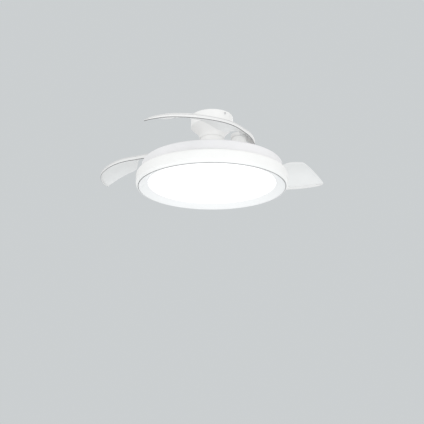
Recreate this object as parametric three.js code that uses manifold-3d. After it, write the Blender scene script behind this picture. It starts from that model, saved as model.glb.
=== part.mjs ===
// Ceiling fan with three folding blades over a round lamp drum.
// Millimetres, +Z up. The origin is the middle of the bracket's top face, on the ceiling,
// and the fan hangs below it. X is to the right and Y away from a viewer in front.
import * as THREE from 'three';
import { mergeVertices } from 'three/addons/utils/BufferGeometryUtils.js';
import Module from 'manifold-3d';

const wasm = await Module();
wasm.setup();

// ---------------------------------------------------------------- driving dimensions
const GAP = 0.3;                 // clearance between touching pieces
const TOTAL_DROP = 260;          // ceiling to the lamp's rim

const DRUM_R = 254;              // lamp drum, 20 inches across
const DRUM_RIM_R = 246;          // where the wall's rolled-in lower edge ends
const TRIM_R = 244.8;            // outside of the trim ring, inside that edge
const DRUM_H = 45;
const DRUM_EDGE_R = 7;           // rounding of the drum's two edges
const SHEET = 1.4;               // steel sheet of the drum, the neck and the tier's wall

const LIT_R = 214;               // lit disc inside the trim
const LIT_RISE = 14.4;           // how far the lit disc sits above the rim

const CARRIER_R = 236.7;         // turning tier that carries the blades
const CARRIER_TOP = -(TOTAL_DROP - 81);
const CARRIER_BOTTOM = -(TOTAL_DROP - 46.5);
const CARRIER_HOLE_R = 60;
const CARRIER_EDGE_R = 5;
const CARRIER_PLATE = 2;         // the tier's top plate

const CANOPY_R = 72.5;
const CANOPY_STRAIGHT = 38;      // straight wall, before it draws in like a cup
const CANOPY_END = 79;
const CANOPY_NECK_R = 42;
const CANOPY_WALL = 1.6;
const CANOPY_SCREW_AZ = -53;     // degrees; the second screw is opposite
const CANOPY_SCREW_Z = -10;

const NECK_R = 40;
const NECK_TOP = -68;
const NECK_BOTTOM = -175;

const ROD_R = 13.3;
const ROD_BORE_R = 11;
const ROD_TOP = -6;
const ROD_BOTTOM = -128;
const SHAFT_R = 12;
const SHAFT_BORE_R = 7;
const SHAFT_TOP = -130;
const SHAFT_BOTTOM = -232;

const MOTOR_R = 95;
const MOTOR_TOP = CARRIER_TOP - CARRIER_PLATE - GAP;
const MOTOR_SPLIT = -198;
const MOTOR_BOTTOM = CARRIER_BOTTOM;
const MOTOR_WALL = 3;
const BEARING_R = 17.5;
const BEARING_H = 7;
const STATOR_R = 84;
const STATOR_TEETH = 12;
const MAGNET_R = 87.5;
const RUN_GAP = 0.8;             // round a turning fit, between faceted walls

const BLADE_COUNT = 3;
const PIVOT_R = 192;             // pivots, from the fan's axis
const PIVOT_AZ = -63.7;          // azimuth of the first pivot in the photographed pose
const OPEN_SWING = 97;           // folded to fully open, degrees
const PHOTO_SWING = [51, 95, 91];
const BLADE_TOP_ROOT = -138;
const BLADE_THICK = 2.6;
const BLADE_CAMBER = 5;          // how far the panel arches above its edges
const LIP_THICK = 2.6;
const BOSS_R = 25.5;
const BOSS_THICK = 13;
const HUB_R = 23;
const HUB_BOTTOM = CARRIER_TOP + 3;
const HUB_FLANGE_R = 29.5;
const PIN_R = 5;
const PIN_HEAD_R = 9;
const STOP_DISTANCE = 26.6;      // stop pin, from the pivot
const STOP_R = 2.4;

const SCREW_R = 2;               // every small screw
const SCREW_HEAD_R = 4;
const CROSS_PIN_R = 3;           // pins through the rod, the coupling and the shaft
const CROSS_PIN_HEAD_R = 4.6;
const ROD_PIN_Z = -22;
const COUPLING_PIN_Z = -120;
const SHAFT_PIN_Z = -140;

const SEG_LARGE = 48;
const SEG_MID = 16;
const SEG_SCREW = 12;
const SEG_SMALL = 10;

// ---------------------------------------------------------------- materials
const paint = (name, color, roughness = 0.45, metalness = 0) =>
  Object.assign(new THREE.MeshStandardMaterial({ color, roughness, metalness }), { name });
const WHITE = paint('white_paint', '#f4f4f2', 0.42);
const TIER = paint('pale_grey_paint', '#ecebed', 0.5);
const BLADE_WHITE = paint('blade_white', '#efefee', 0.4);
const STEEL = paint('steel', '#a9abad', 0.35, 0.9);
const DARK_STEEL = paint('dark_steel', '#55585c', 0.45, 0.8);
const COPPER = paint('copper_wire', '#b5652f', 0.4, 0.85);
const BRONZE = paint('bronze', '#a8834a', 0.5, 0.8);
const MAGNET = paint('magnet', '#3c3d40', 0.6, 0.4);
const OPAL = paint('opal_acrylic', '#ffffff', 0.3);
const BOARD = paint('lamp_board', '#e8ecec', 0.6);
const CASE = paint('plastic_case', '#dcdcd8', 0.6);
const RUBBER = paint('rubber', '#38383a', 0.85);

// ---------------------------------------------------------------- helpers
const rad = THREE.MathUtils.degToRad;
const polar = (r, deg) => new THREE.Vector2(r * Math.cos(rad(deg)), r * Math.sin(rad(deg)));
const mix = THREE.MathUtils.lerp;
const smooth = THREE.MathUtils.smoothstep;

function toSolid(geometry) {
  const bare = geometry.clone();
  bare.deleteAttribute('normal');
  bare.deleteAttribute('uv');
  const merged = mergeVertices(bare, 1e-4);
  return new wasm.Manifold(new wasm.Mesh({
    numProp: 3,
    vertProperties: Float32Array.from(merged.attributes.position.array),
    triVerts: Uint32Array.from(merged.index.array),
  }));
}

function toGeometry(solid) {
  const mesh = solid.getMesh();
  const geometry = new THREE.BufferGeometry();
  geometry.setAttribute('position', new THREE.BufferAttribute(mesh.vertProperties, 3));
  geometry.setIndex(new THREE.BufferAttribute(mesh.triVerts, 1));
  geometry.computeVertexNormals();
  return geometry;
}

const cut = (base, ...tools) =>
  toGeometry(tools.reduce((solid, tool) => solid.subtract(toSolid(tool)), toSolid(base)));
const join = (base, ...others) =>
  toGeometry(others.reduce((solid, other) => solid.add(toSolid(other)), toSolid(base)));

// A body of revolution from its closed half section, given as [radius, height] pairs in
// counterclockwise order, turned about Z.
function turned(section, segments = SEG_LARGE) {
  const points = section.map(([r, z]) => new THREE.Vector2(r, z));
  if (section[0][0] > 0) points.push(points[0].clone());
  return new THREE.LatheGeometry(points, segments).rotateX(Math.PI / 2);
}

const ring = (inner, outer, bottom, top, segments = SEG_MID) =>
  turned([[inner, bottom], [outer, bottom], [outer, top], [inner, top]], segments);

function rod(radius, bottom, top, x = 0, y = 0, segments = SEG_SMALL) {
  return new THREE.CylinderGeometry(radius, radius, top - bottom, segments)
    .rotateX(Math.PI / 2)
    .translate(x, y, (top + bottom) / 2);
}

function box(sizeX, sizeY, bottom, top, x = 0, y = 0) {
  return new THREE.BoxGeometry(sizeX, sizeY, top - bottom).translate(x, y, (top + bottom) / 2);
}

// A rod lying level, from radius r0 to r1 on the given azimuth.
function levelRod(radius, r0, r1, azimuth, z, segments = SEG_SMALL) {
  return new THREE.CylinderGeometry(radius, radius, r1 - r0, segments)
    .rotateZ(-Math.PI / 2)
    .translate((r0 + r1) / 2, 0, z)
    .rotateZ(rad(azimuth));
}

const crossPinHole = (z) => levelRod(CROSS_PIN_R + GAP, -30, 30, 0, z);

// Points of an arc in a half section, about (r, z), from one angle to another.
const arc = (r, z, radius, from, to, steps) =>
  Array.from({ length: steps + 1 }, (_, i) => {
    const angle = rad(mix(from, to, i / steps));
    return [r + radius * Math.cos(angle), z + radius * Math.sin(angle)];
  });

const fan = new THREE.Group();
const rotor = new THREE.Group();
fan.add(rotor);

function place(name, geometry, material, parent = fan) {
  const mesh = new THREE.Mesh(geometry, material);
  mesh.name = name;
  parent.add(mesh);
  return mesh;
}

// ---------------------------------------------------------------- ceiling bracket and canopy
const TAB_R = CANOPY_R - CANOPY_WALL - 2.4;
const BRACKET_THICK = 2.5;
const SOCKET_BOTTOM = -32;

function makeBracket() {
  const plate = rod(44, -BRACKET_THICK, 0, 0, 0, SEG_MID);
  const bar = box(2 * TAB_R, 34, -BRACKET_THICK, 0);
  const tabs = [-1, 1].map((side) => box(2.5, 22, -20, 0, side * (TAB_R - 1.25), 0));
  const socket = rod(20, SOCKET_BOTTOM, 0, 0, 0, SEG_MID);
  const body = join(plate, bar, ...tabs, socket).rotateZ(rad(CANOPY_SCREW_AZ));
  const bore = rod(ROD_R + GAP, SOCKET_BOTTOM - 1, ROD_TOP + GAP, 0, 0, SEG_MID);
  const wireHole = rod(7, -10, 5, 0, 32);
  const slots = [-1, 1].map((side) =>
    new THREE.BoxGeometry(18, 5.5, 12).translate(side * 50, 0, 0).rotateZ(rad(CANOPY_SCREW_AZ)));
  const screwHoles = levelRod(SCREW_R + GAP, -80, 80, CANOPY_SCREW_AZ, CANOPY_SCREW_Z);
  const screwRelief = toSolid(screwHoles).subtract(toSolid(rod(40, -30, 5)));
  const pinHole = crossPinHole(ROD_PIN_Z);
  const drilled = toSolid(cut(body, bore, wireHole, ...slots, pinHole)).subtract(screwRelief);
  return toGeometry(drilled);
}

// Straight wall, then a cup that draws in to the neck.
function makeCanopy() {
  const steps = 5;
  const cup = Array.from({ length: steps + 1 }, (_, i) => {
    const t = i / steps;
    return [
      mix(CANOPY_NECK_R, CANOPY_R, (1 - t) ** 1.9),
      mix(-CANOPY_STRAIGHT, -CANOPY_END, t ** 0.92),
    ];
  });
  const rim = [[CANOPY_R, -3 - GAP], [CANOPY_R - 0.8, -1 - GAP], [CANOPY_R - CANOPY_WALL, -GAP]];
  const inside = cup.map(([r, z], i) => [r - CANOPY_WALL, i === 0 || i === steps ? z : z + 0.9]);
  const hole = levelRod(SCREW_R + GAP, -90, 90, CANOPY_SCREW_AZ, CANOPY_SCREW_Z);
  return cut(turned([...cup.toReversed(), ...rim, ...inside]), hole);
}

function makeCanopyScrew(azimuth) {
  const shank = levelRod(SCREW_R, TAB_R - 6, CANOPY_R + 1, azimuth, CANOPY_SCREW_Z, SEG_SCREW);
  const head = levelRod(SCREW_HEAD_R, CANOPY_R + GAP, CANOPY_R + 2.3, azimuth, CANOPY_SCREW_Z, SEG_MID);
  const slot = new THREE.BoxGeometry(1.6, 9, 0.9)
    .translate(CANOPY_R + 2.3, 0, CANOPY_SCREW_Z)
    .rotateZ(rad(azimuth));
  return cut(join(shank, head), slot);
}

place('ceiling_bracket', makeBracket(), STEEL);
place('canopy', makeCanopy(), WHITE);
place('canopy_screw_1', makeCanopyScrew(CANOPY_SCREW_AZ), STEEL);
place('canopy_screw_2', makeCanopyScrew(CANOPY_SCREW_AZ + 180), STEEL);

// Terminal block and radio receiver hang under the bracket plate, beside the socket.
function makeTerminalBlock() {
  const body = box(42, 15, -17, -BRACKET_THICK - GAP, -6, -36);
  const wells = [-1.5, -0.5, 0.5, 1.5].map((i) => rod(2.6, -18, -11, -6 + i * 9.5, -36, 10));
  return cut(body, ...wells);
}
place('terminal_block', makeTerminalBlock(), CASE);
place('receiver', box(66, 24, -24, -BRACKET_THICK - GAP, -4, 37)
  .rotateZ(rad(20)).translate(12, 0, -BRACKET_THICK), CASE);

// ---------------------------------------------------------------- rod, coupling and neck
const COUPLING_TOP = -112;
const COUPLING_BOTTOM = -150;
const CLIP_TOP = -153;

function makeDownrod() {
  const tube = ring(ROD_BORE_R, ROD_R, ROD_BOTTOM, ROD_TOP);
  return cut(tube, crossPinHole(ROD_PIN_Z), crossPinHole(COUPLING_PIN_Z));
}

function makeCoupling() {
  const section = [
    [SHAFT_R + GAP, COUPLING_BOTTOM], [22, COUPLING_BOTTOM], [24, COUPLING_BOTTOM + 2],
    [24, COUPLING_TOP - 2], [22, COUPLING_TOP], [ROD_R + GAP, COUPLING_TOP],
    [ROD_R + GAP, ROD_BOTTOM - GAP], [SHAFT_R + GAP, ROD_BOTTOM - GAP],
  ];
  return cut(turned(section, SEG_MID), crossPinHole(COUPLING_PIN_Z), crossPinHole(SHAFT_PIN_Z));
}

function makeCrossPin(length, z) {
  const pin = levelRod(CROSS_PIN_R, -length, length, 0, z, SEG_MID);
  return join(pin, levelRod(CROSS_PIN_HEAD_R, length, length + 2.4, 0, z, SEG_MID));
}

function makeNeckCover() {
  const webTop = COUPLING_BOTTOM - GAP;
  const web = webTop - SHEET;
  return turned([
    [NECK_R - SHEET, NECK_BOTTOM], [NECK_R, NECK_BOTTOM], [NECK_R, NECK_TOP],
    [NECK_R - SHEET, NECK_TOP], [NECK_R - SHEET, webTop], [SHAFT_R + GAP, webTop],
    [SHAFT_R + GAP, web], [NECK_R - SHEET, web],
  ], SEG_LARGE);
}

place('downrod', makeDownrod(), WHITE);
place('rod_pin', makeCrossPin(21, ROD_PIN_Z), STEEL);
place('coupling', makeCoupling(), DARK_STEEL);
place('coupling_pin', makeCrossPin(25, COUPLING_PIN_Z), STEEL);
place('shaft_pin', makeCrossPin(25, SHAFT_PIN_Z), STEEL);
place('neck_cover', makeNeckCover(), WHITE);
place('cover_clip', ring(SHAFT_R + GAP, 17, CLIP_TOP - 2.4, CLIP_TOP), STEEL);

// ---------------------------------------------------------------- motor, fixed side
const STATOR_TOP = -192;
const STATOR_BOTTOM = -205;
const FLANGE_R = 28;
const SHAFT_LOW_R = 9;
const PAN_TOP = -(TOTAL_DROP - DRUM_H);

function makeShaft() {
  const shoulder = PAN_TOP + GAP;
  const section = [
    [SHAFT_BORE_R, SHAFT_BOTTOM], [SHAFT_LOW_R, SHAFT_BOTTOM], [SHAFT_LOW_R, shoulder],
    [SHAFT_R, shoulder], [SHAFT_R, STATOR_BOTTOM], [FLANGE_R, STATOR_BOTTOM],
    [FLANGE_R, STATOR_TOP], [SHAFT_R, STATOR_TOP], [SHAFT_R, SHAFT_TOP],
    [SHAFT_BORE_R, SHAFT_TOP],
  ];
  return cut(turned(section, SEG_MID), crossPinHole(SHAFT_PIN_Z));
}

// Laminated core: a ring whose teeth end in wide shoes next to the magnets.
function makeStator() {
  const outline = new THREE.Shape();
  const pitch = 360 / STATOR_TEETH;
  const yoke = 46;
  for (let tooth = 0; tooth < STATOR_TEETH; tooth += 1) {
    const middle = tooth * pitch;
    const corners = [
      polar(yoke, middle - pitch / 2), polar(yoke, middle - 7), polar(STATOR_R - 8, middle - 4.2),
      polar(STATOR_R - 6, middle - 12), polar(STATOR_R, middle - 12), polar(STATOR_R, middle),
      polar(STATOR_R, middle + 12), polar(STATOR_R - 6, middle + 12),
      polar(STATOR_R - 8, middle + 4.2), polar(yoke, middle + 7),
    ];
    corners.forEach((corner, index) => {
      if (tooth === 0 && index === 0) outline.moveTo(corner.x, corner.y);
      else outline.lineTo(corner.x, corner.y);
    });
  }
  outline.closePath();
  const hole = new THREE.Path();
  hole.absarc(0, 0, FLANGE_R + GAP, 0, 2 * Math.PI, true);
  outline.holes.push(hole);
  return new THREE.ExtrudeGeometry(outline, {
    depth: STATOR_TOP - STATOR_BOTTOM, bevelEnabled: false, curveSegments: SEG_MID / 2,
  }).translate(0, 0, STATOR_BOTTOM);
}

const windingRing = (bottom, top) => ring(52, 73, bottom, top);

place('motor_shaft', makeShaft(), STEEL);
place('stator_core', makeStator(), DARK_STEEL);
place('winding_upper', windingRing(STATOR_TOP + GAP, STATOR_TOP + 5), COPPER);
place('winding_lower', windingRing(STATOR_BOTTOM - 4.5, STATOR_BOTTOM - GAP), COPPER);
const UPPER_BEARING_TOP = STATOR_TOP + GAP + BEARING_H;
const LOWER_BEARING_TOP = STATOR_BOTTOM - GAP;
const bearing = (top) => ring(SHAFT_R + GAP, BEARING_R, top - BEARING_H, top);
place('bearing_upper', bearing(UPPER_BEARING_TOP), STEEL);
place('bearing_lower', bearing(LOWER_BEARING_TOP), STEEL);

// ---------------------------------------------------------------- rotor
const SCREW_CIRCLE = 76;
const CARRIER_SCREW_AZ = [0, 120, 240];
const pivots = Array.from({ length: BLADE_COUNT }, (_, index) => {
  const azimuth = PIVOT_AZ + (index * 360) / BLADE_COUNT;
  const at = polar(PIVOT_R, azimuth);
  return { azimuth, x: at.x, y: at.y, swing: PHOTO_SWING[index] };
});

function makeRotorTop() {
  const inside = MOTOR_TOP - MOTOR_WALL;
  const seat = UPPER_BEARING_TOP - BEARING_H;
  const section = [
    [MOTOR_R - MOTOR_WALL, MOTOR_SPLIT], [MOTOR_R, MOTOR_SPLIT], [MOTOR_R, MOTOR_TOP - 1.5],
    [MOTOR_R - 1.5, MOTOR_TOP], [SHAFT_R + 2, MOTOR_TOP], [SHAFT_R + 2, UPPER_BEARING_TOP + GAP],
    [BEARING_R + RUN_GAP, UPPER_BEARING_TOP + GAP], [BEARING_R + RUN_GAP, seat],
    [BEARING_R + 5, seat], [BEARING_R + 5, inside], [MOTOR_R - MOTOR_WALL, inside],
  ];
  return cut(turned(section, SEG_MID), ...carrierScrewHoles(MOTOR_TOP - 4, MOTOR_TOP + 1));
}

function carrierScrewHoles(bottom, top) {
  return CARRIER_SCREW_AZ.map((azimuth) => {
    const at = polar(SCREW_CIRCLE, azimuth);
    return rod(SCREW_R + GAP, bottom, top, at.x, at.y, SEG_SCREW);
  });
}

function makeRotorBottom() {
  const inside = MOTOR_BOTTOM + MOTOR_WALL - 0.5;
  const top = MOTOR_SPLIT - GAP;
  const seat = LOWER_BEARING_TOP - BEARING_H - GAP;
  const section = [
    [SHAFT_R + 2, MOTOR_BOTTOM], [MOTOR_R - 1.5, MOTOR_BOTTOM], [MOTOR_R, MOTOR_BOTTOM + 1.5],
    [MOTOR_R, top], [MOTOR_R - MOTOR_WALL, top], [MOTOR_R - MOTOR_WALL, inside],
    [BEARING_R + 5, inside], [BEARING_R + 5, LOWER_BEARING_TOP - 1],
    [BEARING_R + RUN_GAP, LOWER_BEARING_TOP - 1], [BEARING_R + RUN_GAP, seat],
    [SHAFT_R + 2, seat],
  ];
  return turned(section, SEG_MID);
}

function makeCarrier() {
  const under = CARRIER_TOP - CARRIER_PLATE;
  const inner = CARRIER_R - SHEET;
  const corner = arc(CARRIER_R - CARRIER_EDGE_R, CARRIER_TOP - CARRIER_EDGE_R, CARRIER_EDGE_R, 0, 90, 3);
  const section = [
    [inner, CARRIER_BOTTOM], [CARRIER_R, CARRIER_BOTTOM], ...corner,
    [CARRIER_HOLE_R, CARRIER_TOP], [CARRIER_HOLE_R, under], [inner - 3, under], [inner, under - 3],
  ];
  const pinHoles = pivots.map(({ x, y }) => rod(PIN_R + GAP, under - 1, CARRIER_TOP + 1, x, y));
  const stopHoles = pivots.map(({ azimuth }) => {
    const at = polar(PIVOT_R - STOP_DISTANCE, azimuth);
    return rod(STOP_R + GAP, under - 1, CARRIER_TOP + 1, at.x, at.y, SEG_SCREW);
  });
  return cut(turned(section), ...pinHoles, ...stopHoles, ...carrierScrewHoles(under - 1, CARRIER_TOP + 1));
}

place('rotor_top_shell', makeRotorTop(), STEEL, rotor);
place('rotor_bottom_shell', makeRotorBottom(), STEEL, rotor);
place('magnet_ring', ring(MAGNET_R, MOTOR_R - MOTOR_WALL - GAP, -208, -188), MAGNET, rotor);
place('blade_carrier', makeCarrier(), TIER, rotor);
CARRIER_SCREW_AZ.forEach((azimuth, index) => {
  const at = polar(SCREW_CIRCLE, azimuth);
  const shank = rod(SCREW_R, MOTOR_TOP - MOTOR_WALL, CARRIER_TOP + 1, at.x, at.y, SEG_SCREW);
  const head = rod(SCREW_HEAD_R, CARRIER_TOP + GAP, CARRIER_TOP + 2.6, at.x, at.y, SEG_SCREW);
  const slot = box(9, 1.2, CARRIER_TOP + 1.6, CARRIER_TOP + 4, at.x, at.y);
  place(`carrier_screw_${index + 1}`, cut(join(shank, head), slot), STEEL, rotor);
});

// ---------------------------------------------------------------- one blade
// Drawn folded, about its pivot: X points away from the fan's axis, and the blade runs
// toward negative azimuth around the axis, which is at x = -PIVOT_R.
// Stations along the blade: [azimuth of outer edge, its radius, azimuth of inner edge,
// its radius, top height of outer edge, top height of inner edge, depth of the lip].
const STATIONS = [
  [10, 236, 10, 222, 107, 107, 18],
  [7, 239, 7, 214, 111.5, 111, 20],
  [3, 237.5, 3, 206, 115.5, 114.5, 20],
  [-2, 234.5, -2, 199.5, 117.5, 116, 18],
  [-8, 231, -8, 201, 116.8, 116.5, 16],
  [-14, 229, -14, 201, 115.3, 114.5, 15],
  [-17.5, 228.5, -18.5, 194, 114.6, 110.5, 15],
  [-21, 228.5, -22, 177, 114.2, 107.5, 14.5],
  [-26, 229, -27, 156, 113.8, 116, 14],
  [-33, 229.5, -35.5, 133, 113, 135.5, 13.8],
  [-41, 229.8, -44, 118.5, 111, 147, 13.2],
  [-51, 229.5, -54, 107, 109, 153, 13],
  [-62, 229, -65, 98.5, 108, 157.3, 13],
  [-73, 228.5, -77, 95.5, 107.5, 158, 12.6],
  [-83, 228, -87, 96.5, 107, 156, 11.5],
  [-91, 227.5, -93, 99, 105, 154, 10.5],
  [-97.5, 225.5, -96.5, 103, 102.5, 152, 8],
  [-102.5, 220, -98.5, 112, 100.5, 149, 4.5],
];
const STATION_STEPS = 1;
const ACROSS = 5;

const stationCurve = (column) => new THREE.CatmullRomCurve3(
  STATIONS.map((station, index) => new THREE.Vector3(index, station[column], 0)), false, 'centripetal');
const stationCurves = STATIONS[0].map((_, column) => stationCurve(column));

function stationAt(t) {
  const [outerAz, outerR, innerAz, innerR, outerZ, innerZ, lip] =
    stationCurves.map((curve) => curve.getPoint(t).y);
  const drop = -TOTAL_DROP;
  const outer = polar(outerR, outerAz);
  const inner = polar(innerR, innerAz);
  return {
    outer: new THREE.Vector3(outer.x - PIVOT_R, outer.y, outerZ + drop),
    inner: new THREE.Vector3(inner.x - PIVOT_R, inner.y, innerZ + drop),
    lip,
    camber: BLADE_CAMBER * smooth(t, 0.15, 0.5),
  };
}

// Section across the blade: a thin shell with a lip that hangs from its outer edge.
function bladeSection({ outer, inner, lip, camber }) {
  const across = new THREE.Vector3().subVectors(inner, outer);
  const span = Math.hypot(across.x, across.y);
  const at = (distance, dz) => {
    const w = distance / span;
    const arch = camber * 4 * w * (1 - w);
    return new THREE.Vector3(
      outer.x + across.x * w, outer.y + across.y * w, outer.z + across.z * w + arch + dz);
  };
  const top = Array.from({ length: ACROSS + 1 }, (_, i) => at((span * i) / ACROSS, 0));
  const under = Array.from({ length: ACROSS }, (_, i) =>
    at(mix(span, LIP_THICK, i / (ACROSS - 1)), -BLADE_THICK));
  return [...top, ...under, at(LIP_THICK, -lip), at(0, -lip)];
}

function loft(sections) {
  const count = sections[0].length;
  const positions = sections.flat().flatMap((p) => [p.x, p.y, p.z]);
  const index = [];
  for (let s = 0; s < sections.length - 1; s += 1) {
    for (let i = 0; i < count; i += 1) {
      const j = (i + 1) % count;
      const [a, b] = [s * count + i, s * count + j];
      const [c, d] = [a + count, b + count];
      index.push(a, b, c, b, d, c);
    }
  }
  const capFaces = (section) => {
    const origin = section[0];
    const flat = section.map((p) => new THREE.Vector2(Math.hypot(p.x - origin.x, p.y - origin.y), p.z));
    return THREE.ShapeUtils.triangulateShape(flat, []);
  };
  const last = (sections.length - 1) * count;
  capFaces(sections[0]).forEach(([a, b, c]) => index.push(a, b, c));
  capFaces(sections.at(-1)).forEach(([a, b, c]) => index.push(last + a, last + c, last + b));
  const geometry = new THREE.BufferGeometry();
  geometry.setAttribute('position', new THREE.Float32BufferAttribute(positions, 3));
  geometry.setIndex(index);
  return geometry;
}

const BLADE_SCREWS = [[-13.5, 10.5], [-4, -17]];   // from the pivot, through the boss into the hub
const BOSS_BOTTOM = BLADE_TOP_ROOT - BOSS_THICK;

function makeBlade() {
  const steps = (STATIONS.length - 1) * STATION_STEPS;
  const sections = Array.from({ length: steps + 1 }, (_, i) => bladeSection(stationAt(i / steps)));
  const boss = turned([
    [0, BOSS_BOTTOM], [BOSS_R - 1, BOSS_BOTTOM], [BOSS_R, BOSS_BOTTOM + 1],
    [BOSS_R, BLADE_TOP_ROOT - 2], [BOSS_R - 2, BLADE_TOP_ROOT], [0, BLADE_TOP_ROOT],
  ], SEG_MID);
  const [low, high] = [BOSS_BOTTOM - 1, BLADE_TOP_ROOT + 1];
  const bores = BLADE_SCREWS.map(([x, y]) => rod(SCREW_R + GAP, low, high, x, y, SEG_SCREW));
  return cut(join(boss, loft(sections)), rod(PIN_R + GAP, low, high), ...bores);
}

// The hub is a cup, open below, that turns on its bush and houses the return spring.
// A window in its flange lets it turn from stop to stop.
const HUB_TOP = BOSS_BOTTOM - GAP;
const BUSH_R = 8;
const NECK_OF_HUB_R = 12;
const SPRING_ROOM_R = 20;
const FLANGE_TOP = HUB_BOTTOM + 4;
const STOP_HALF = THREE.MathUtils.radToDeg(Math.asin((STOP_R + GAP) / STOP_DISTANCE)) + 0.5;

function makeHub() {
  const ceiling = HUB_TOP - 8;
  const cup = turned([
    [BUSH_R + GAP, HUB_BOTTOM], [NECK_OF_HUB_R, HUB_BOTTOM], [NECK_OF_HUB_R, ceiling],
    [SPRING_ROOM_R, ceiling], [SPRING_ROOM_R, HUB_BOTTOM], [HUB_R, HUB_BOTTOM],
    [HUB_R, HUB_TOP], [BUSH_R + GAP, HUB_TOP],
  ], SEG_MID);
  // Folded, the stop stands at the window's far end; open, at its near end.
  const windowStart = 180 - OPEN_SWING - STOP_HALF;
  const windowEnd = 180 + STOP_HALF;
  const flange = new THREE.Shape();
  flange.absarc(0, 0, HUB_FLANGE_R, rad(windowEnd), rad(windowStart + 360), false);
  flange.absarc(0, 0, HUB_R - 1.5, rad(windowStart + 360), rad(windowEnd), true);
  flange.closePath();
  const collar = new THREE.ExtrudeGeometry(flange, {
    depth: FLANGE_TOP - HUB_BOTTOM, bevelEnabled: false, curveSegments: 12,
  }).translate(0, 0, HUB_BOTTOM);
  const bores = BLADE_SCREWS.map(([x, y]) =>
    rod(SCREW_R + GAP, HUB_TOP - 7, HUB_TOP + 1, x, y, SEG_SCREW));
  return cut(join(cup, collar), ...bores);
}

function makePivotPin() {
  const under = CARRIER_TOP - CARRIER_PLATE;
  const shank = rod(PIN_R, under - 7, BLADE_TOP_ROOT + 1.5, 0, 0, SEG_SMALL);
  const head = turned([
    [0, BLADE_TOP_ROOT + GAP], [PIN_HEAD_R, BLADE_TOP_ROOT + GAP],
    [PIN_HEAD_R, BLADE_TOP_ROOT + 2.4], [PIN_HEAD_R - 1.6, BLADE_TOP_ROOT + 3.8],
    [0, BLADE_TOP_ROOT + 4.2],
  ], SEG_MID);
  const foot = rod(PIN_HEAD_R, under - 5, under - GAP, 0, 0, 6);
  const socket = rod(2.6, BLADE_TOP_ROOT + 2, BLADE_TOP_ROOT + 5, 0, 0, 6);
  return cut(join(shank, head, foot), socket);
}

// Torsion spring: one unbroken helix of round wire with short level ends.
const SPRING_R = 17;
const SPRING_WIRE_R = 1;
const SPRING_TURNS = 3;
const SPRING_BOTTOM = HUB_BOTTOM - 0.6;
const SPRING_TOP = HUB_TOP - 9.8;

class Helix extends THREE.Curve {
  getPoint(t, target = new THREE.Vector3()) {
    const angle = t * SPRING_TURNS * 2 * Math.PI;
    return target.set(
      SPRING_R * Math.cos(angle), SPRING_R * Math.sin(angle), mix(SPRING_BOTTOM, SPRING_TOP, t));
  }
}

function makeSpring() {
  const section = new THREE.Shape();
  section.absarc(0, 0, SPRING_WIRE_R, 0, 2 * Math.PI, false);
  return new THREE.ExtrudeGeometry(section, {
    extrudePath: new Helix(), steps: SPRING_TURNS * 12, bevelEnabled: false, curveSegments: 2,
  });
}

function makeBladeScrew([x, y]) {
  const shank = rod(SCREW_R, HUB_TOP - 6.5, BLADE_TOP_ROOT + 1, x, y, SEG_SCREW);
  const head = rod(SCREW_HEAD_R, BLADE_TOP_ROOT + GAP, BLADE_TOP_ROOT + 2.4, x, y, SEG_SCREW);
  const slot = box(9, 1.1, BLADE_TOP_ROOT + 1.5, BLADE_TOP_ROOT + 4, x, y);
  return cut(join(shank, head), slot);
}

function makeStop() {
  const x = -STOP_DISTANCE;
  const under = CARRIER_TOP - CARRIER_PLATE;
  const stem = rod(STOP_R, under - 3, FLANGE_TOP + 1, x, 0);
  const foot = rod(STOP_R + 1.6, under - 3, under - GAP, x, 0);
  return join(stem, foot);
}

const bladeShape = makeBlade();
const hubShape = makeHub();
const pinShape = makePivotPin();
const springShape = makeSpring();
const stopShape = makeStop();

pivots.forEach(({ azimuth, x, y, swing }, index) => {
  const mark = index + 1;
  const station = new THREE.Group();
  station.position.set(x, y, 0);
  station.rotation.z = rad(azimuth);
  rotor.add(station);
  const swinging = new THREE.Group();
  swinging.rotation.z = rad(swing);
  station.add(swinging);

  place(`pivot_pin_${mark}`, pinShape, STEEL, station);
  place(`return_spring_${mark}`, springShape, STEEL, station);
  place(`stop_pin_${mark}`, stopShape, RUBBER, station);
  place(`blade_${mark}`, bladeShape, BLADE_WHITE, swinging);
  place(`blade_hub_${mark}`, hubShape, WHITE, swinging);
  place(`hub_bush_${mark}`, ring(PIN_R + GAP, BUSH_R, HUB_BOTTOM, HUB_TOP), BRONZE, swinging);
  BLADE_SCREWS.forEach((at, screw) => {
    place(`blade_screw_${mark}_${screw + 1}`, makeBladeScrew(at), STEEL, swinging);
  });
});

// ---------------------------------------------------------------- lamp drum
const PAN_UNDER = PAN_TOP - SHEET;
const WALL_END = -TOTAL_DROP + 1.6;

function makeLightPan() {
  const bendTop = arc(DRUM_R - DRUM_EDGE_R, PAN_TOP - DRUM_EDGE_R, DRUM_EDGE_R, 0, 90, 4);
  const low = -TOTAL_DROP + DRUM_EDGE_R;
  const bendLow = [[DRUM_R - 5, WALL_END], [DRUM_R - 2, low - 3.2], [DRUM_R - 0.4, low]];
  const inner = DRUM_R - SHEET;
  const section = [
    [DRUM_RIM_R, WALL_END], ...bendLow, [DRUM_R, low + 3],
    ...bendTop, [SHAFT_LOW_R + GAP, PAN_TOP], [SHAFT_LOW_R + GAP, PAN_UNDER],
    [inner - DRUM_EDGE_R + 1.5, PAN_UNDER], [inner - 1.6, PAN_UNDER - 2.6],
    [inner, PAN_UNDER - DRUM_EDGE_R + 1.5], [inner, low + 3], [inner - 1.6, low - 2.4],
  ];
  return turned(section);
}

// The trim ring carries the diffuser, and its bevel rises from the rim to the lit disc.
const TRIM_FLAT = -TOTAL_DROP + LIT_RISE;

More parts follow.
